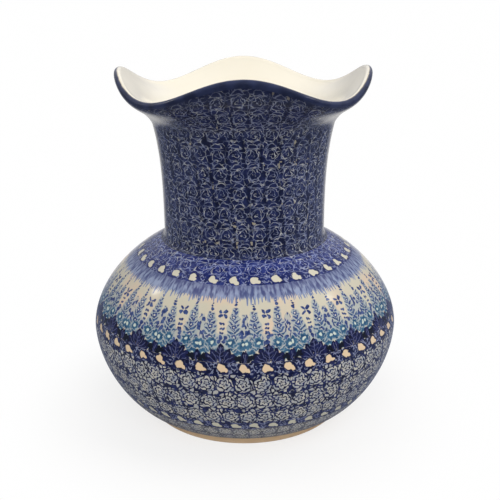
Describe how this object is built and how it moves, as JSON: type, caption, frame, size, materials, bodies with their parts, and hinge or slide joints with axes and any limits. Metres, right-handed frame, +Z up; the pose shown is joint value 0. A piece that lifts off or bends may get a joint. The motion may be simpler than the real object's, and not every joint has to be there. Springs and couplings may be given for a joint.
{
  "type": "vase",
  "caption": "Squat round-bellied glazed stoneware vase with a tall neck, a flared and waved lip and a turned foot ring, for holding cut flowers in water.",
  "frame": {"origin": "centre of the foot ring's flat face, on the surface that the vase stands on", "axes": "+Z up along the vase's turning axis; one high lobe of the lip faces each of +X, -X, +Y and -Y"},
  "size_m": [0.2, 0.2, 0.2253],
  "materials": {
    "bare_clay": "matt fired clay",
    "stoneware_body": "matt fired clay",
    "cream_glaze": "glossy clear glaze over cream clay",
    "stamped_glaze": "glossy clear glaze over stamped cobalt decoration",
    "lip_glaze": "glossy clear glaze over cream clay and stamped decoration",
    "cobalt_band": "glossy deep cobalt glaze"
  },
  "bodies": {
    "root": {"foot_ring": "bare_clay", "lower_bowl": "stoneware_body", "shoulder": "stoneware_body", "neck": "stoneware_body", "lip": "stoneware_body", "liner_glaze": "cream_glaze", "outer_glaze": "stamped_glaze", "lip_glaze": "lip_glaze", "lip_band": "cobalt_band"}
  },
  "joints": []
}
